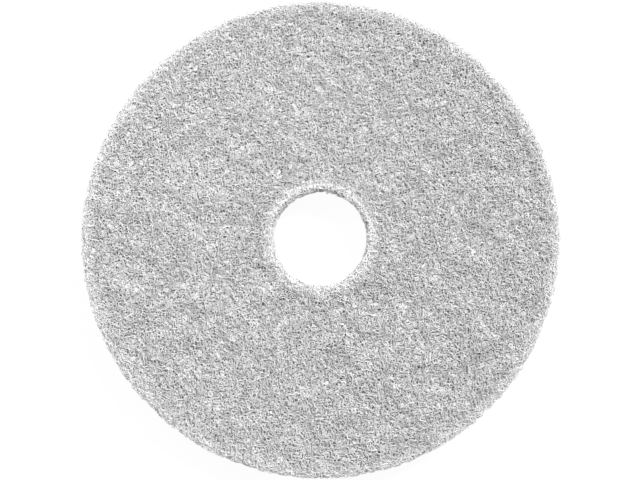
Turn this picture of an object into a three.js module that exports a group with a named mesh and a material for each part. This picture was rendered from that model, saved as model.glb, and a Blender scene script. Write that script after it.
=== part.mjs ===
// A round floor polishing pad: one thick disc of springy non-woven fibre web, die-cut with a centre hole.
// It lies flat with its underside on z = 0 and its axis on +Z. Lengths are in millimetres.
import * as THREE from "three";

// Driving sizes
const PAD_DIAMETER = 432; // the 17 inch machine size
const HOLE_DIAMETER = 85; // the centre hole that metric lists give for most sizes
const THICKNESS = 25; // about an inch of loft
const EDGE_RADIUS = 5; // how far the soft web rounds over at each cut edge

// The web is uneven: crossing bundles of fibre stand level with the face, and looser patches between them sink.
const FACE_HOLLOW = 1.1; // how far a patch sinks below the top and the underside
const WALL_HOLLOW = 0.4; // the same on the cut walls, which the die leaves more even
const HOLLOW_PITCH = 27; // from one patch to the next
const BUNDLE_SHARE = 0.45; // how much of the pattern's swing stays level as bundles
const PATTERN_WAVES = 9; // plane waves that are added up to scatter the patches

// How finely the surface is faceted
const FACET_LENGTH = 8.8; // the longest step along a face or round a ring
const EDGE_STEPS = 3; // chords in each rounded edge
const FEWEST_SIDES = 40; // so that the small centre hole is still round

const GOLDEN_ANGLE = Math.PI * (3 - Math.sqrt(5));
const WAVELENGTH_SPREAD = 0.35; // the waves' lengths differ by up to this share, so that nothing repeats
const RIDGES_PER_WAVE = 2; // both the crests and the troughs of the sum become hollows

const PAD_RADIUS = PAD_DIAMETER / 2;
const HOLE_RADIUS = HOLE_DIAMETER / 2;

// Plane waves that travel in evenly scattered directions: each has a wave vector, in radians per mm, and a phase.
function scatteredWaves() {
  const waves = [];
  for (let i = 0; i < PATTERN_WAVES; i++) {
    const share = (i + 0.5) / PATTERN_WAVES;
    const rise = 1 - 2 * share;
    const flat = Math.sqrt(1 - rise * rise);
    const turn = i * GOLDEN_ANGLE;
    const length = HOLLOW_PITCH * RIDGES_PER_WAVE * (1 + WAVELENGTH_SPREAD * (share - 0.5));
    const vector = new THREE.Vector3(flat * Math.cos(turn), flat * Math.sin(turn), rise);
    waves.push({ vector: vector.multiplyScalar((2 * Math.PI) / length), phase: turn * turn });
  }
  return waves;
}

const WAVES = scatteredWaves();

// How loose the web is at a point, from 0 to 1: nothing on the bundles, which run where the waves nearly cancel,
// rising smoothly to the middle of the patches between them.
function loosenessAt(point) {
  const sum = WAVES.reduce((total, wave) => total + Math.cos(wave.vector.dot(point) + wave.phase), 0);
  const swing = Math.abs(sum) / Math.sqrt(PATTERN_WAVES);
  return THREE.MathUtils.smoothstep(swing, BUNDLE_SHARE, 1);
}

// A straight run of the section, from one corner point to another, without its first point.
function straightRun(from, to, normal) {
  const steps = Math.max(1, Math.ceil(from.distanceTo(to) / FACET_LENGTH));
  const stations = [];
  for (let i = 1; i <= steps; i++) {
    stations.push({ place: from.clone().lerp(to, i / steps), normal });
  }
  return stations;
}

// A rounded edge of the section about a centre, a quarter turn clockwise, without its first point.
function roundedEdge(centre, startAngle) {
  const stations = [];
  for (let i = 1; i <= EDGE_STEPS; i++) {
    const angle = startAngle - (i / EDGE_STEPS) * (Math.PI / 2);
    const normal = new THREE.Vector2(Math.cos(angle), Math.sin(angle));
    stations.push({ place: normal.clone().multiplyScalar(EDGE_RADIUS).add(centre), normal });
  }
  return stations;
}

// The pad's section, as (radius, height) stations clockwise round it: up the hole's wall, out along the top,
// down the outer edge and back along the underside. Each station also has the surface's outward normal.
function sectionStations() {
  const low = EDGE_RADIUS;
  const high = THICKNESS - EDGE_RADIUS;
  const near = HOLE_RADIUS + EDGE_RADIUS;
  const far = PAD_RADIUS - EDGE_RADIUS;
  const at = (radius, height) => new THREE.Vector2(radius, height);
  return [
    ...straightRun(at(HOLE_RADIUS, low), at(HOLE_RADIUS, high), at(-1, 0)),
    ...roundedEdge(at(near, high), Math.PI),
    ...straightRun(at(near, THICKNESS), at(far, THICKNESS), at(0, 1)),
    ...roundedEdge(at(far, high), Math.PI / 2),
    ...straightRun(at(PAD_RADIUS, high), at(PAD_RADIUS, low), at(1, 0)),
    ...roundedEdge(at(far, low), 0),
    ...straightRun(at(far, 0), at(near, 0), at(0, -1)),
    ...roundedEdge(at(near, low), -Math.PI / 2),
  ];
}

// One ring of points round the axis at a station. Wider rings have more sides, so that facets stay alike in size.
function ringAt({ place, normal }, positions) {
  const sides = Math.max(FEWEST_SIDES, Math.ceil((2 * Math.PI * place.x) / FACET_LENGTH));
  const hollow = THREE.MathUtils.lerp(WALL_HOLLOW, FACE_HOLLOW, Math.abs(normal.y));
  const first = positions.length / 3;
  const point = new THREE.Vector3();
  for (let i = 0; i < sides; i++) {
    const turn = (2 * Math.PI * i) / sides;
    point.set(place.x * Math.cos(turn), place.x * Math.sin(turn), place.y);
    const sink = hollow * loosenessAt(point);
    const radius = place.x - sink * normal.x;
    positions.push(radius * Math.cos(turn), radius * Math.sin(turn), place.y - sink * normal.y);
  }
  return { first, sides };
}

// Triangles between two neighbouring rings, which may have different numbers of sides: each step goes forward
// on the ring that lags behind.
function stitch(ring, next, indices) {
  const at = ({ first, sides }, i) => first + (i % sides);
  let i = 0;
  let j = 0;
  while (i < ring.sides || j < next.sides) {
    const ringLags = (i + 0.5) / ring.sides <= (j + 0.5) / next.sides;
    if (j === next.sides || (i < ring.sides && ringLags)) {
      indices.push(at(ring, i), at(next, j), at(ring, i + 1));
      i++;
    } else {
      indices.push(at(ring, i), at(next, j), at(next, j + 1));
      j++;
    }
  }
}

// The pad's closed skin: the section's stations carried round the axis, and each ring joined to the next.
function padGeometry() {
  const positions = [];
  const indices = [];
  const rings = sectionStations().map((station) => ringAt(station, positions));
  rings.forEach((ring, i) => stitch(ring, rings[(i + 1) % rings.length], indices));
  const geometry = new THREE.BufferGeometry();
  geometry.setAttribute("position", new THREE.Float32BufferAttribute(positions, 3));
  geometry.setIndex(indices);
  geometry.computeVertexNormals();
  return geometry;
}

// Resin-bonded fibre in a neutral light grey, dull all over
const webMaterial = new THREE.MeshStandardMaterial({ color: 0xc4c4c4, roughness: 0.9, metalness: 0 });

const polishingPad = new THREE.Mesh(padGeometry(), webMaterial);
polishingPad.name = "polishing_pad";

const pad = new THREE.Group();
pad.add(polishingPad);

export default pad;
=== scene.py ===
# %% [markdown]
# # A floor polishing pad, fibre by fibre
# The real pad is a thick round mat of crimped synthetic fibres. They are blown into a loose web, glued
# where they cross, and cut out with a round die. Nothing on it is smooth: its surface is only where the
# topmost fibres end. So this scene builds a core for the depths of the web, coloured dark as painted shade,
# and then lays thousands of separate fibres over it, on both faces, round the rim and down the hole.

import bpy
import numpy as np
from mathutils import Matrix, Vector


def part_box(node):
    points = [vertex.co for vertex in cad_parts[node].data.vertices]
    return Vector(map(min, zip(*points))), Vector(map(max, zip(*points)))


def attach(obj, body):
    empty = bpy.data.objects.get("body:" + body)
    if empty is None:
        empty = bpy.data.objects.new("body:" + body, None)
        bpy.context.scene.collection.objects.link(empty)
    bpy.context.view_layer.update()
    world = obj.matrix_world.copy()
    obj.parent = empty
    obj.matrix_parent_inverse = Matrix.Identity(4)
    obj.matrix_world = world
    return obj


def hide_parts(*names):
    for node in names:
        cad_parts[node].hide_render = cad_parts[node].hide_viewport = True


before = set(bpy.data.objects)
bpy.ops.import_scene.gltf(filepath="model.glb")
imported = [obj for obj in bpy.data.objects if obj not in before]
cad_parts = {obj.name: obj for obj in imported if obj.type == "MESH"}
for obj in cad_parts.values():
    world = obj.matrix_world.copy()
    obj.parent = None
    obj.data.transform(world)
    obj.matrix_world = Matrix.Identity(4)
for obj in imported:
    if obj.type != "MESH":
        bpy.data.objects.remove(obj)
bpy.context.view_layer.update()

# %% [markdown]
# ## Sizes
# These are the sizes of the pad's outer form, in metres, as the solid has them. The scene keeps to them:
# the fibres fill the same disc, and only a few loose ends stand a millimetre proud of it.

# %% Sizes of the pad
MM = 0.001
PAD_RADIUS = 216 * MM
HOLE_RADIUS = 42.5 * MM
THICKNESS = 25 * MM
EDGE_RADIUS = 5 * MM
FACE_HOLLOW = 1.1 * MM
WALL_HOLLOW = 0.4 * MM

node_low, node_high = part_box("polishing_pad")
print("solid is", np.round((np.array(node_high) - np.array(node_low)) / MM, 1), "mm")

# %% [markdown]
# ## The surface as a map
# A pad cut by a round die is a surface of revolution, so two numbers find any place on it: how far along
# the section's outline, and how far round the axis. Working on this map rather than in x, y and z is what
# lets a fibre run over an edge and down the wall with no special case. The third number is the depth
# below the surface. The die leaves the edges of the hole crisper than the rim, so there the web fills the
# rounded corner out a little.

# %% The section's outline
WALL_RUN = THICKNESS - 2 * EDGE_RADIUS
EDGE_RUN = EDGE_RADIUS * np.pi / 2
FACE_RUN = PAD_RADIUS - HOLE_RADIUS - 2 * EDGE_RADIUS
RUNS = [WALL_RUN, EDGE_RUN, FACE_RUN, EDGE_RUN] * 2
CORNERS = np.concatenate([[0.0], np.cumsum(RUNS)])
OUTLINE = CORNERS[-1]

# The section is a rounded box. At each of the nine ends of its runs: how far out, how far up, and which
# way it faces.
SHARE_OUT = np.array([0, 0, 0, 1, 1, 1, 1, 0, 0])
SHARE_UP = np.array([0, 1, 1, 1, 1, 0, 0, 0, 0])
FACING = np.pi * np.array([1, 1, 0.5, 0.5, 0, 0, -0.5, -0.5, -1])
THINNEST_CORNER = 0.2 * MM
HOLE_EDGE_FILL = 1.3 * MM

# The web's pattern of bundles and hollows
PATTERN_WAVES = 9
PATTERN_LENGTH = 54 * MM
LENGTH_SPREAD = 0.35
BUNDLE_SHARE = 0.45


def looseness(x, y, z):
    """How far the web has sunk, from 0 on its level bundles to 1 in its hollows.

    It is the size of a sum of plane waves in scattered directions, taken from the bundles' share of its
    swing to 1 and smoothed. The solid has the same pattern.
    """
    index = np.arange(PATTERN_WAVES)
    share = (index + 0.5) / PATTERN_WAVES
    rise = 1 - 2 * share
    flat = np.sqrt(1 - rise**2)
    turn = index * np.pi * (3 - np.sqrt(5))
    wave = PATTERN_LENGTH * (1 + LENGTH_SPREAD * (share - 0.5))
    towards = np.stack([flat * np.cos(turn), flat * np.sin(turn), rise]) * 2 * np.pi / wave
    swing = np.tensordot(np.stack([x, y, z], axis=-1), towards, axes=1) + turn**2
    size = np.abs(np.cos(swing).sum(axis=-1)) / np.sqrt(PATTERN_WAVES)
    level = np.clip((size - BUNDLE_SHARE) / (1 - BUNDLE_SHARE), 0, 1)
    return level * level * (3 - 2 * level)


def section(along, depth, drawn_in=0.0):
    """Radius, height and outward normal at a length along the outline, at a depth below it.

    A point of the outline is a point of a smaller box plus an arm that turns a quarter at each corner.
    Depth shortens the arm, and once the arm is used up it shrinks the box. Drawn in, both walls stand
    back further still.
    """
    along = np.mod(along, OUTLINE)
    excess = np.maximum(depth - EDGE_RADIUS + THINNEST_CORNER, 0)
    inset = EDGE_RADIUS + excess
    arm = EDGE_RADIUS - depth + excess
    out = np.interp(along, CORNERS, SHARE_OUT)
    up = np.interp(along, CORNERS, SHARE_UP)
    facing = np.interp(along, CORNERS, FACING)
    nearest, farthest = HOLE_RADIUS + inset + drawn_in, PAD_RADIUS - inset - drawn_in
    radius = nearest + out * (farthest - nearest) + arm * np.cos(facing)
    height = inset + up * (THICKNESS - 2 * inset) + arm * np.sin(facing)
    return radius, height, np.cos(facing), np.sin(facing)


def on_pad(along, turn, depth, drawn_in=0.0):
    """Points, and the surface's normals there, at a length along the outline, an angle round and a depth.

    The hollows are added to the depth. At the hole's two edges the web is fuller than the round corner,
    which is taken off the depth: most halfway round, by the sine of twice the angle, and nothing where
    the corner ends.
    """
    radius, height, level, upright = section(along, 0 * along)
    hollow = WALL_HOLLOW + (FACE_HOLLOW - WALL_HOLLOW) * np.abs(upright)
    sunk = hollow * looseness(radius * np.cos(turn), radius * np.sin(turn), height)
    at_hole = radius < HOLE_RADIUS + EDGE_RADIUS
    filled = HOLE_EDGE_FILL * np.abs(2 * level * upright) * at_hole
    radius, height, level, upright = section(along, depth + sunk - filled, drawn_in)
    points = np.stack([radius * np.cos(turn), radius * np.sin(turn), height], axis=-1)
    normals = np.stack([level * np.cos(turn), level * np.sin(turn), upright], axis=-1)
    return points, normals


print(f"outline is {OUTLINE / MM:.1f} mm long: faces {FACE_RUN / MM:.1f}, walls {WALL_RUN / MM:.1f}")

# %% [markdown]
# ## Camera
# The photograph looks straight down from a little over a metre: both circles are true, and a thin line of
# the hole's wall shows at its upper right. The hole sits a pixel or two above the middle of the disc, as
# it does when the camera stands slightly to the lower side, which brings the lower rim nearer. The lens
# and the aim are then fitted: the outline is projected, and moved and scaled until it is the photograph's
# circle.

# %% Camera
PHOTO_WIDTH, PHOTO_HEIGHT = 640, 480
DISC_CENTRE = np.array([320.7, 239.5])
DISC_RADIUS = 239.6
LEAN = np.radians(2.2)
LEAN_TOWARDS = np.radians(-70)
CAMERA_DISTANCE = 1.3
SENSOR = 36.0

back = np.array([np.sin(LEAN) * np.cos(LEAN_TOWARDS), np.sin(LEAN) * np.sin(LEAN_TOWARDS), np.cos(LEAN)])
right = np.cross([0, 1, 0], back)
right /= np.linalg.norm(right)
upward = np.cross(back, right)


def in_photo(points, target, lens):
    """Pixels, right and down, of points the camera sees: x or y over depth, times the lens in pixels."""
    away = CAMERA_DISTANCE - (points - target) @ back
    lens_pixels = lens / SENSOR * PHOTO_WIDTH
    across = (points - target) @ right / away * lens_pixels
    down = -(points - target) @ upward / away * lens_pixels
    return np.stack([PHOTO_WIDTH / 2 + across, PHOTO_HEIGHT / 2 + down], axis=-1)


RIM_TURNS, RIM_LENGTHS = 721, 25
rim_turns, rim_lengths = np.meshgrid(
    np.linspace(0, 2 * np.pi, RIM_TURNS),
    np.linspace(CORNERS[3], CORNERS[6], RIM_LENGTHS),
)
rim_radius, rim_height, _, _ = section(rim_lengths, 0)
rim = np.stack([rim_radius * np.cos(rim_turns), rim_radius * np.sin(rim_turns), rim_height], axis=-1)
rim = rim.reshape(-1, 3)
target = np.array([0.0, 0.0, THICKNESS / 2])
lens = 80.0
FITTING_ROUNDS = 5
for _ in range(FITTING_ROUNDS):
    seen = in_photo(rim, target, lens)
    middle = (seen.max(axis=0) + seen.min(axis=0)) / 2
    half = (seen.max(axis=0) - seen.min(axis=0)).mean() / 2
    metres_per_pixel = CAMERA_DISTANCE * SENSOR / (lens * PHOTO_WIDTH)
    target = target + (middle - DISC_CENTRE) @ np.array([right, -upward]) * metres_per_pixel
    lens *= DISC_RADIUS / half

camera_data = bpy.data.cameras.new("camera")
camera_data.lens = lens
camera_data.sensor_width = SENSOR
camera_data.clip_end = 50
camera = bpy.data.objects.new("camera", camera_data)
bpy.context.collection.objects.link(camera)
position = target + back * CAMERA_DISTANCE
axes_and_place = np.column_stack([right, upward, back, position])
camera.matrix_world = Matrix(np.vstack([axes_and_place, [0, 0, 0, 1]]).tolist())
bpy.context.scene.camera = camera
print(f"lens {lens:.1f} mm, {metres_per_pixel / MM:.3f} mm to a pixel, centred on {middle.round(2)}")

# %% [markdown]
# ## Making a mesh from arrays
# Every piece here is worked out as whole numpy arrays of points and of faces. One helper turns them into
# a Blender object that sits at the origin, with its place in its mesh, and rides on the pad's only body.
# It also stores how near each point lies to the cut edges, as a share of painted light: there the
# materials paint the web paler, for the light that gets into the edge from two sides.


# %% Mesh helper
CUT_REACH = 13 * MM
HOLE_PAINTED_LIGHT_GAIN = 1.6


def painted_light_share(points):
    """Painted light: how near points lie to the cut walls, from 1 on a wall to 0 where the reach ends, in a
    straight line.

    The hole's line is steeper, so that more light is painted round the hole, its shaded edge too, and it
    is cut off at 1. Light gets in from two sides only at an edge, so all of it is times a share that is 1
    at the faces and 0 halfway up the wall.
    """
    radius = np.hypot(points[..., 0], points[..., 1])
    from_rim = 1 - (PAD_RADIUS - radius) / CUT_REACH
    from_hole = HOLE_PAINTED_LIGHT_GAIN * (1 - (radius - HOLE_RADIUS) / CUT_REACH)
    from_middle = np.abs(points[..., 2] - THICKNESS / 2)
    at_edge = np.clip((from_middle - WALL_RUN / 2 + EDGE_RADIUS) / EDGE_RADIUS, 0, 1)
    return np.clip(np.maximum(from_rim, from_hole), 0, 1) * at_edge


def make_piece(name, points, faces, corner_uvs=None, tint=None):
    """An object from an array of points and a list of face arrays, each with 3 or 4 point numbers a row."""
    mesh = bpy.data.meshes.new(name)
    corners = np.concatenate([group.ravel() for group in faces])
    sizes = np.concatenate([np.full(len(group), group.shape[1]) for group in faces])
    mesh.vertices.add(len(points))
    mesh.vertices.foreach_set("co", points.ravel())
    mesh.loops.add(len(corners))
    mesh.loops.foreach_set("vertex_index", corners)
    mesh.polygons.add(len(sizes))
    mesh.polygons.foreach_set("loop_start", np.concatenate([[0], np.cumsum(sizes)[:-1]]))
    mesh.update(calc_edges=True)
    mesh.shade_smooth()
    if corner_uvs is not None:
        layer = mesh.uv_layers.new(name="OFBake")
        layer.uv.foreach_set("vector", corner_uvs.ravel())
    # The share of painted light near the cut walls goes to the materials as the point attribute cut.
    mesh.attributes.new("cut", "FLOAT", "POINT").data.foreach_set("value", painted_light_share(points))
    if tint is not None:
        mesh.attributes.new("tint", "FLOAT", "POINT").data.foreach_set("value", tint.ravel())
    piece = bpy.data.objects.new(name, mesh)
    bpy.context.collection.objects.link(piece)
    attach(piece, "root")
    print(f"{name}: {len(points)} points, {int((sizes - 2).sum())} triangles")
    return piece


# %% [markdown]
# ## The core
# A couple of millimetres down, so many fibres cross that little light comes back. A closed body stands
# for that depth, and its dark colour is painted shade. It could be a plain ring, but then every gap would
# be equally deep, so its surface is pitted by a gentle noise: a sum of sines whose waves run in all
# directions. Its grid wraps round both ways, along the outline and round the axis, so it has no seam and
# no pole.

# %% Core
CORE_DEPTH = 1.5 * MM
CORE_DRAWN_IN = 1 * MM
PIT_DEPTH = 1.2 * MM
PIT_PITCH = 9 * MM
CORE_COLUMNS = 320
CORE_ROWS = [6, 4, 44, 4, 7, 4, 36, 4]


def pits(points, pitch, seed, waves=24):
    """A noise from 0 to about 1 at points: a sum of sines of roughly one pitch, in random directions."""
    rng = np.random.default_rng(seed)
    towards = rng.normal(size=(3, waves))
    towards *= 2 * np.pi / pitch / np.linalg.norm(towards, axis=0) * rng.uniform(0.7, 1.5, waves)
    swing = np.sin(points @ towards + rng.uniform(0, 2 * np.pi, waves)).sum(axis=-1)
    return 0.5 + swing / np.sqrt(2 * waves) / 2


def make_core():
    """The closed ring: the outline carried round the axis, sunk by the core's depth and its pits."""
    rows = [np.linspace(CORNERS[i], CORNERS[i + 1], n, endpoint=False) for i, n in enumerate(CORE_ROWS)]
    turns = np.linspace(0, 2 * np.pi, CORE_COLUMNS, endpoint=False)
    along, turn = np.meshgrid(np.concatenate(rows), turns, indexing="ij")
    surface, _ = on_pad(along, turn, 0 * along)
    depth = CORE_DEPTH + PIT_DEPTH * pits(surface, PIT_PITCH, seed=3)
    points, _ = on_pad(along, turn, depth, CORE_DRAWN_IN)
    numbers = np.arange(along.size).reshape(along.shape)
    after, beside = np.roll(numbers, -1, axis=0), np.roll(numbers, -1, axis=1)
    quads = np.stack([numbers, after, np.roll(after, -1, axis=1), beside], axis=-1).reshape(-1, 4)
    # The bake map: the ring is cut at half a turn, and the two halves are laid one above the other.
    row, column = np.indices(along.shape)
    half = column // (CORE_COLUMNS // 2)
    u = (column % (CORE_COLUMNS // 2))[..., None] + np.array([0, 0, 1, 1])
    v = row[..., None] + np.array([0, 1, 1, 0])
    u = u / (CORE_COLUMNS // 2) * 0.996 + 0.002
    v = (v / len(along) * 0.99 + 0.005 + half[..., None]) / 2
    uvs = np.stack([u, v], axis=-1).reshape(-1, 2)
    return make_piece("web_core", points.reshape(-1, 3), [quads], uvs)


web_core = make_core()
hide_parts("polishing_pad")

# %% [markdown]
# ## One fibre, and thousands
# A fibre is a thin thread of a few centimetres with a crimp pressed into it, so it curls and waves. On
# the map of the surface it is a walk: at every step its heading turns a little, by its own curl and by
# its crimp. Its depth is a second curve, level in the middle and diving at both ends, so that it comes
# out of the web and goes back in. Rather more fibres lie up and down the picture than across it. The
# lamps stand towards its top, and such light shows crosswise threads more strongly, while the
# photograph's grain has no direction. A thread this fine needs only three sides. Curves with a bevel
# would look the same, but arrays are far quicker for many thousands, and each thread comes out as a
# closed body.

# %% Fibre maker
FIBRE_SIDES = 3
FLATNESS = (1.45, 0.7)
LIE = 0.22
DIVE = 2.2 * MM
RIPPLE = 0.22 * MM
ROUND_STEP = 0.7548776662
ALONG_STEP = 0.5698402910

# Nothing may sink into the floor, so no point of a fibre or a drop lies lower than this.
LOWEST = 0.02 * MM


def walk(rng, turn, count, steps, pace, curl, crimp):
    """Steps along and across of many random walks: the heading is a start plus a curl plus a crimp wave.

    The start is an even angle plus a share of the sine of twice it, so that on the upper face more fibres
    lie along Y than along X. The angle round the axis is taken off, because the map's directions turn
    with it.
    """
    t = np.arange(steps + 1) * pace
    even = rng.uniform(0, 2 * np.pi, (count, 1))
    start = even + LIE * np.sin(2 * even) - turn
    bend = rng.normal(0, curl, (count, 1))
    wave = rng.uniform(5, 9, (count, 1)) * MM
    shift = rng.uniform(0, 2 * np.pi, (count, 1))
    heading = start + bend * (t - t.mean()) + crimp * np.sin(2 * np.pi * t / wave + shift)
    ahead = np.cumsum(np.cos(heading), axis=1) * pace
    aside = np.cumsum(np.sin(heading), axis=1) * pace
    return ahead - ahead.mean(axis=1, keepdims=True), aside - aside.mean(axis=1, keepdims=True)


def fibre_places(first, count, start, end):
    """Middles of fibres, scattered evenly by area with two golden-like sequences of shares."""
    index = first + np.arange(count)
    lengths = np.linspace(start, end, 2000)
    radius, _, _, _ = section(lengths, 0)
    share = np.cumsum(radius) / radius.sum()
    along = np.interp(np.mod(0.5 + index * ALONG_STEP, 1), share, lengths)
    turn = 2 * np.pi * np.mod(0.5 + index * ROUND_STEP, 1)
    return along[:, None], turn[:, None]


def tube_faces(count, steps):
    """Quads and end triangles of count tubes, each of steps + 1 rings of points, facing outwards."""
    ring, side = np.meshgrid(np.arange(steps), np.arange(FIBRE_SIDES), indexing="ij")
    near = ring * FIBRE_SIDES + side
    near_next = ring * FIBRE_SIDES + (side + 1) % FIBRE_SIDES
    quad = np.stack([near, near + FIBRE_SIDES, near_next + FIBRE_SIDES, near_next], axis=-1).reshape(-1, 4)
    last = steps * FIBRE_SIDES
    ends = np.array([[0, 1, 2], [last + 2, last + 1, last]])
    base = np.arange(count)[:, None, None] * (steps + 1) * FIBRE_SIDES
    return (base + quad).reshape(-1, 4), (base + ends).reshape(-1, 3)


def tube_uvs(count, steps):
    """Bake map: a grid cell for each fibre, its length along u, its sides up v, its ends beside."""
    columns = int(np.ceil(np.sqrt(count / 3)))
    rows = int(np.ceil(count / columns))
    cell = np.stack([np.arange(count) % columns, np.arange(count) // columns], axis=-1)[:, None, None, :]
    scale = np.array([0.94 / columns / (steps + 2), 0.88 / rows / FIBRE_SIDES])
    ring, side = np.meshgrid(np.arange(steps), np.arange(FIBRE_SIDES), indexing="ij")
    u = ring.reshape(-1, 1) + np.array([1, 2, 2, 1])
    v = side.reshape(-1, 1) + np.array([0, 0, 1, 1])
    quad = np.stack([u, v], axis=-1)[None] * scale
    near_end = [[0, 0], [0.9, 0], [0, 3]]
    far_end = [[steps + 1.1, 0], [steps + 2, 0], [steps + 2, 3]]
    ends = np.array([near_end, far_end])[None] * scale
    origin = (cell + 0.04) / np.array([columns, rows])
    return np.concatenate([(origin + quad).reshape(-1, 2), (origin + ends).reshape(-1, 2)])


def lay_fibres(
    name,
    count,
    first,
    span,
    steps,
    pace,
    thickness,
    curl=260,
    crimp=0.7,
    deepest=1.5 * MM,
    packed=1.6,
    lift=0.0,
    proud=0.0,
):
    """A piece of many fibres on one stretch of the outline.

    Depth is the fibre's own level, plus a dive that grows with the fourth power of the way from its
    middle, plus a small wave. The levels run down to deepest, crowded near the surface by the power
    packed, and all are raised by lift. A few fibres stand out by up to proud, because an even share to
    the eighth power is mostly near 0. The cross-section is a flattened triangle of points at equal angles
    round the path.
    """
    rng = np.random.default_rng(first + 17)
    along, turn = fibre_places(first, count, *span)
    ahead, aside = walk(rng, turn, count, steps, pace, curl, crimp)
    along = along + ahead
    radius, _, _, _ = section(along, 0)
    turn = turn + aside / radius
    half = thickness * rng.uniform(0.75, 1.3, (count, 1)) / 2
    level = half * 1.1 + deepest * rng.uniform(0, 1, (count, 1)) ** packed - lift
    level -= proud * rng.uniform(0, 1, (count, 1)) ** 8
    t = np.linspace(-1, 1, steps + 1)
    wave = RIPPLE * np.sin(rng.uniform(4, 8, (count, 1)) * t + rng.uniform(0, 6, (count, 1)))
    depth = level + DIVE * t**4 + np.abs(wave)
    path, normal = on_pad(along, turn, depth)
    ahead = np.gradient(path, axis=1)
    ahead /= np.linalg.norm(ahead, axis=-1, keepdims=True)
    beside = np.cross(ahead, normal)
    beside /= np.linalg.norm(beside, axis=-1, keepdims=True)
    above = np.cross(beside, ahead)
    round_path = np.arange(FIBRE_SIDES) * 2 * np.pi / FIBRE_SIDES
    roll = np.pi / 2 + rng.uniform(-0.5, 0.5, (count, 1, 1)) + round_path
    ring = FLATNESS[0] * np.cos(roll)[..., None] * beside[:, :, None]
    ring = ring + FLATNESS[1] * np.sin(roll)[..., None] * above[:, :, None]
    points = path[:, :, None] + half[:, :, None, None] * ring
    points[..., 2] = np.maximum(points[..., 2], LOWEST)
    tint = np.broadcast_to(rng.uniform(0, 1, (count, 1, 1)), points.shape[:3])
    quads, ends = tube_faces(count, steps)
    uvs = tube_uvs(count, steps)
    return make_piece(name, points.reshape(-1, 3), [quads, ends], uvs, np.ascontiguousarray(tint))


# %% [markdown]
# ## Laying the web
# The upper face is what the photograph shows, so it gets the most fibres, in four pieces that interleave,
# each small enough to export whole. The faces meet the walls halfway round each rounded edge, and fibres
# that start near an edge run over it. The cut edges get a second, looser layer that reaches a little way
# onto the upper face: the die leaves many short ends there, and some stand proud.

# %% Fibres
HALFWAY = (CORNERS[:-1] + CORNERS[1:]) / 2
TOP_SPAN = (HALFWAY[1], HALFWAY[3])
UNDER_SPAN = (HALFWAY[5], HALFWAY[7])

TOP_COUNT = 2500

fibre_pieces = []
for part, letter in enumerate("abcd"):
    name = f"top_fibres_{letter}"
    fibre_pieces.append(lay_fibres(name, TOP_COUNT, part * TOP_COUNT, TOP_SPAN, 10, 1.5 * MM, 0.55 * MM))
under = {"steps": 7, "pace": 2.8 * MM, "thickness": 0.8 * MM, "curl": 120, "crimp": 0.5}
fibre_pieces.append(lay_fibres("under_fibres", 2000, 0, UNDER_SPAN, **under))

FRAYED = 9 * MM
OUTER_EDGE = (CORNERS[3] - FRAYED, HALFWAY[5])
INNER_EDGE = (HALFWAY[7] - OUTLINE, CORNERS[2] + FRAYED)
EDGE_DEPTH = 4 * MM
edge = {"steps": 8, "pace": 1.7 * MM, "thickness": 0.5 * MM, "deepest": EDGE_DEPTH, "packed": 2.5}
fibre_pieces.append(lay_fibres("rim_fibres", 3200, 0, OUTER_EDGE, lift=0.2 * MM, proud=1.0 * MM, **edge))
fibre_pieces.append(lay_fibres("hole_fibres", 800, 0, INNER_EDGE, lift=0.8 * MM, proud=0.4 * MM, **edge))

# %% [markdown]
# ## Drops of resin
# The resin that bonds the web is sprayed on, and here and there it dries as a small pale drop where
# fibres cross. The photograph shows such flecks a pixel or two wide, so each drop is a flattened ball of
# only twenty-four triangles.

# %% Drops of resin
DROP_COLUMNS = 6
DROP_TILT = np.radians(30)
DROP_FLATNESS = np.array([1, 1, 0.6])


def drop_ball():
    """Points and faces of a ball of radius 1: two rings of six points, and a closed pole at each end."""
    turn = np.arange(DROP_COLUMNS) * 2 * np.pi / DROP_COLUMNS
    tilt = np.array([[DROP_TILT], [-DROP_TILT]])
    out, up = np.cos(tilt), np.sin(tilt)
    rings = np.stack([out * np.cos(turn), out * np.sin(turn), up + 0 * turn], axis=-1)
    points = np.concatenate([[[0, 0, 1]], rings.reshape(-1, 3), [[0, 0, -1]]])
    upper = 1 + np.arange(DROP_COLUMNS)
    upper_next = np.roll(upper, -1)
    lower, lower_next = upper + DROP_COLUMNS, upper_next + DROP_COLUMNS
    sides = np.stack([upper, lower, lower_next, upper_next], axis=-1)
    top = np.stack([0 * upper, upper, upper_next], axis=-1)
    bottom = np.stack([lower, 0 * lower + len(points) - 1, lower_next], axis=-1)
    return points, sides, np.concatenate([top, bottom])


def lay_drops(name, count, first, span):
    """A piece of many drops: the flattened ball times a width, plus a place just under the surface."""
    rng = np.random.default_rng(first + 5)
    along, turn = fibre_places(first, count, *span)
    places, _ = on_pad(along, turn, rng.uniform(0.2, 0.9, (count, 1)) * MM)
    ball, sides, caps = drop_ball()
    width = rng.uniform(0.35, 0.75, (count, 1, 1)) * MM
    points = places + ball * width * DROP_FLATNESS
    points[..., 2] = np.maximum(points[..., 2], LOWEST)
    base = np.arange(count)[:, None, None] * len(ball)
    tint = np.broadcast_to(rng.uniform(0, 1, (count, 1)), points.shape[:2])
    faces = [(base + sides).reshape(-1, 4), (base + caps).reshape(-1, 3)]
    return make_piece(name, points.reshape(-1, 3), faces, tint=np.ascontiguousarray(tint))


resin_drops = [lay_drops("top_drops", 620, 40, TOP_SPAN), lay_drops("under_drops", 200, 90, UNDER_SPAN)]

# %% [markdown]
# ## Finishes
# The fibres are a neutral, slightly shiny off-white. Two things keep them from looking like wire: each
# thread has its own shade, and clouds a centimetre or two wide run through the web where it took more or
# less of the resin. The core takes a network of lighter lines, the cut-off look of fibres further down,
# over a dark that is painted shade. Near the cut edges both are painted paler: painted light, for the
# light that gets into the frayed web from two sides.


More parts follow.
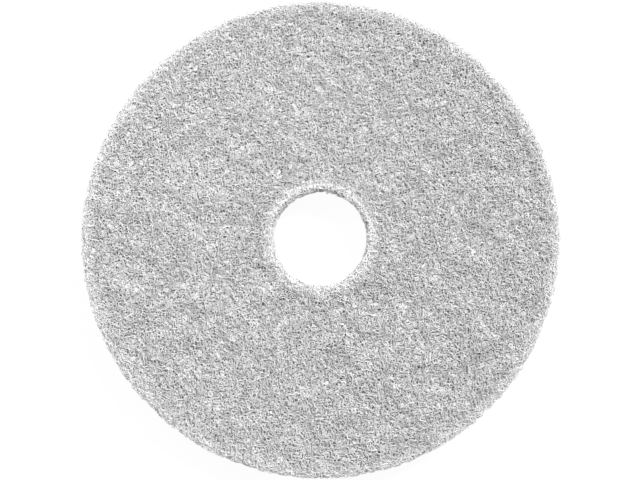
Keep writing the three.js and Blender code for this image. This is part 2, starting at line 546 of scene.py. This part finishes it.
# %% Material helpers
def start_material(name):
    """A new node material: its tree, its Principled shader and its object coordinates."""
    material = bpy.data.materials.new(name)
    material.use_nodes = True
    tree = material.node_tree
    shader = tree.nodes["Principled BSDF"]
    coordinates = tree.nodes.new("ShaderNodeTexCoord").outputs["Object"]
    return material, tree, shader, coordinates


def noise(tree, vector, size, detail=2.0):
    """A noise texture whose lumps are about size metres wide."""
    texture = tree.nodes.new("ShaderNodeTexNoise")
    texture.inputs["Scale"].default_value = 1 / size
    texture.inputs["Detail"].default_value = detail
    tree.links.new(vector, texture.inputs["Vector"])
    return texture


def remap(tree, value, low, high, to_low, to_high):
    """The value, mapped in a straight line from one range to another and kept inside it."""
    ranger = tree.nodes.new("ShaderNodeMapRange")
    for name, number in zip(["From Min", "From Max", "To Min", "To Max"], [low, high, to_low, to_high]):
        ranger.inputs[name].default_value = number
    tree.links.new(value, ranger.inputs["Value"])
    return ranger.outputs["Result"]


def maths(tree, operation, first, second):
    """One sum on two values, each a socket or a number."""
    step = tree.nodes.new("ShaderNodeMath")
    step.operation = operation
    for socket, value in zip(step.inputs, [first, second]):
        if isinstance(value, (int, float)):
            socket.default_value = value
        else:
            tree.links.new(value, socket)
    return step.outputs["Value"]


def as_grey(tree, value):
    """A colour with the same value in red, green and blue."""
    grey = tree.nodes.new("ShaderNodeCombineColor")
    for socket in grey.inputs:
        tree.links.new(value, socket)
    return grey.outputs["Color"]


def bump(tree, height, distance, shader):
    """Bump that raises the surface by up to distance metres."""
    raiser = tree.nodes.new("ShaderNodeBump")
    raiser.inputs["Distance"].default_value = distance
    tree.links.new(height, raiser.inputs["Height"])
    tree.links.new(raiser.outputs["Normal"], shader.inputs["Normal"])


EDGE_PAINTED_LIGHT = 0.75


def attribute(tree, name):
    """A number that the mesh holds at each point."""
    reader = tree.nodes.new("ShaderNodeAttribute")
    reader.attribute_name = name
    return reader.outputs["Fac"]


def with_painted_edge_light(tree, colour):
    """Painted light: the colour, moved towards white by up to the cut walls' share of the gap to white."""
    gap = maths(tree, "SUBTRACT", 1, colour)
    paler = maths(tree, "MULTIPLY", gap, remap(tree, attribute(tree, "cut"), 0, 1, 0, EDGE_PAINTED_LIGHT))
    return maths(tree, "ADD", colour, paler)


# %% Fibre material
def fibre_material():
    """Off-white thread: its own shade, times resin clouds, times fine mottling along its length.

    Near the cut walls it is paled by painted light.
    """
    material, tree, shader, coordinates = start_material("crimped_fibre")
    shade = remap(tree, attribute(tree, "tint"), 0, 1, 0.65, 0.95)
    clouds = remap(tree, noise(tree, coordinates, 16 * MM).outputs["Fac"], 0.3, 0.7, 0.92, 1.06)
    mottle = remap(tree, noise(tree, coordinates, 0.7 * MM).outputs["Fac"], 0.35, 0.65, 0.5, 1.16)
    # Painted light: the thread's colour turns paler towards the cut walls.
    colour = with_painted_edge_light(tree, maths(tree, "MULTIPLY", maths(tree, "MULTIPLY", shade, clouds), mottle))
    tree.links.new(as_grey(tree, colour), shader.inputs["Base Color"])
    grain = noise(tree, coordinates, 0.5 * MM).outputs["Fac"]
    tree.links.new(remap(tree, grain, 0.3, 0.7, 0.5, 0.75), shader.inputs["Roughness"])
    bump(tree, grain, 0.06 * MM, shader)
    return material


crimped_fibre = fibre_material()
for piece in fibre_pieces:
    piece.data.materials.append(crimped_fibre)


# %% Resin material
def resin_material():
    """Set resin: nearly white and smoother than the fibre, with a cloudiness of its own."""
    material, tree, shader, coordinates = start_material("set_resin")
    cloudy = remap(tree, noise(tree, coordinates, 0.8 * MM).outputs["Fac"], 0.3, 0.7, 0.85, 1.0)
    colour = maths(tree, "MULTIPLY", remap(tree, attribute(tree, "tint"), 0, 1, 0.88, 1.0), cloudy)
    tree.links.new(as_grey(tree, colour), shader.inputs["Base Color"])
    shader.inputs["Roughness"].default_value = 0.35
    return material


set_resin = resin_material()
for piece in resin_drops:
    piece.data.materials.append(set_resin)


# %% Core material
def strand_lines(tree, vector, cell, width):
    """Lines between a Voronoi texture's cells: 1 on a line, 0 at width (a share of the cell) from it."""
    cells = tree.nodes.new("ShaderNodeTexVoronoi")
    cells.feature = "DISTANCE_TO_EDGE"
    cells.inputs["Scale"].default_value = 1 / cell
    tree.links.new(vector, cells.inputs["Vector"])
    return remap(tree, cells.outputs["Distance"], 0.45 * width, width, 1, 0)


def core_material():
    """Painted shade of the web's depths, crossed by two sizes of lighter strands.

    The strands wander as coordinates are pushed.
    """
    material, tree, shader, coordinates = start_material("web_depths_painted_shade")
    push = noise(tree, coordinates, 5 * MM, 3)
    shift = tree.nodes.new("ShaderNodeVectorMath")
    shift.operation = "MULTIPLY_ADD"
    tree.links.new(push.outputs["Color"], shift.inputs[0])
    shift.inputs[1].default_value = (4 * MM, 4 * MM, 4 * MM)
    tree.links.new(coordinates, shift.inputs[2])
    wandering = shift.outputs["Vector"]
    lines = maths(
        tree,
        "MAXIMUM",
        strand_lines(tree, wandering, 2 * MM, 0.18),
        maths(tree, "MULTIPLY", strand_lines(tree, wandering, 5 * MM, 0.09), 0.85),
    )
    clouds = remap(tree, noise(tree, coordinates, 14 * MM).outputs["Fac"], 0.3, 0.7, 0.85, 1.12)
    # The dark 0.08 between the lines is painted shade of the depths; near the cut walls painted light pales
    # it all.
    colour = with_painted_edge_light(tree, maths(tree, "MULTIPLY", remap(tree, lines, 0, 1, 0.08, 0.74), clouds))
    tree.links.new(as_grey(tree, colour), shader.inputs["Base Color"])
    shader.inputs["Roughness"].default_value = 0.85
    bump(tree, lines, 0.5 * MM, shader)
    return material


web_core.data.materials.append(core_material())

# %% [markdown]
# ## Light and floor
# The photograph is an even, bright studio shot. Its key light comes from the upper right: that side of
# the rim is almost white, and so is the hole's lower left edge, while a thin dark line marks its upper
# right wall. A broad sun lamp does that, high enough that the wall facing it doesn't burn out to white in
# other views. A softbox from the upper left makes that side a little brighter, as in the photograph, and
# the world's plain light fills in. The floor is white to the camera with only a trace of shadow, and an
# ordinary pale floor to the light itself.

# %% Light
KEY_HEIGHT = np.radians(37)
KEY_FROM = np.radians(47)
KEY_SPREAD = np.radians(10)
KEY_STRENGTH = 3.8
FILL_STRENGTH = 0.35
SOFTBOX_PLACE = (-0.85, 0.85, 0.9)
SOFTBOX_SIZE = 0.8
SOFTBOX_POWER = 11

key_data = bpy.data.lights.new("key", "SUN")
key_data.energy = KEY_STRENGTH
key_data.angle = KEY_SPREAD
key = bpy.data.objects.new("key", key_data)
bpy.context.collection.objects.link(key)
key.rotation_euler = (0, np.pi / 2 - KEY_HEIGHT, KEY_FROM)

softbox_data = bpy.data.lights.new("softbox", "AREA")
softbox_data.shape = "SQUARE"
softbox_data.size = SOFTBOX_SIZE
softbox_data.energy = SOFTBOX_POWER
softbox = bpy.data.objects.new("softbox", softbox_data)
bpy.context.collection.objects.link(softbox)
softbox.location = SOFTBOX_PLACE
softbox.rotation_euler = Vector(SOFTBOX_PLACE).to_track_quat("Z", "Y").to_euler()

world = bpy.data.worlds.new("studio")
bpy.context.scene.world = world
world.use_nodes = True
sky = world.node_tree.nodes["Background"]
path = world.node_tree.nodes.new("ShaderNodeLightPath")


def seen_directly(tree, path):
    """1 for what the camera sees, also in a mirror or through glass, and 0 for what lights things."""
    mirrored = maths(tree, "MAXIMUM", path.outputs["Is Glossy Ray"], path.outputs["Is Transmission Ray"])
    return maths(tree, "MAXIMUM", path.outputs["Is Camera Ray"], mirrored)


brightness = remap(world.node_tree, seen_directly(world.node_tree, path), 0, 1, FILL_STRENGTH, 1)
world.node_tree.links.new(brightness, sky.inputs["Strength"])
sky.inputs["Color"].default_value = (1, 1, 1, 1)

# %% Floor
FLOOR_HALF = 4.0
FLOOR_PALE = 0.8
SHADOW_SHARE = 0.06
FLOOR_GLOW = 0.955

floor_mesh = bpy.data.meshes.new("floor")
floor_corners = FLOOR_HALF * np.array([[-1, -1, 0], [1, -1, 0], [1, 1, 0], [-1, 1, 0]])
floor_mesh.from_pydata(floor_corners.tolist(), [], [(0, 1, 2, 3)])
floor = bpy.data.objects.new("floor", floor_mesh)
bpy.context.collection.objects.link(floor)

floor_material = bpy.data.materials.new("white_floor")
floor_material.use_nodes = True
floor_tree = floor_material.node_tree
floor_shader = floor_tree.nodes["Principled BSDF"]
floor_shader.inputs["Roughness"].default_value = 1
floor_shader.inputs["Specular IOR Level"].default_value = 0
floor_shader.inputs["Emission Color"].default_value = (1, 1, 1, 1)
floor_path = floor_tree.nodes.new("ShaderNodeLightPath")
floor_seen = seen_directly(floor_tree, floor_path)
floor_colour = as_grey(floor_tree, remap(floor_tree, floor_seen, 0, 1, FLOOR_PALE, SHADOW_SHARE))
floor_tree.links.new(floor_colour, floor_shader.inputs["Base Color"])
floor_glow = remap(floor_tree, floor_seen, 0, 1, 0, FLOOR_GLOW)
floor_tree.links.new(floor_glow, floor_shader.inputs["Emission Strength"])
floor_mesh.materials.append(floor_material)

# %% View
bpy.context.scene.view_settings.view_transform = "Standard"
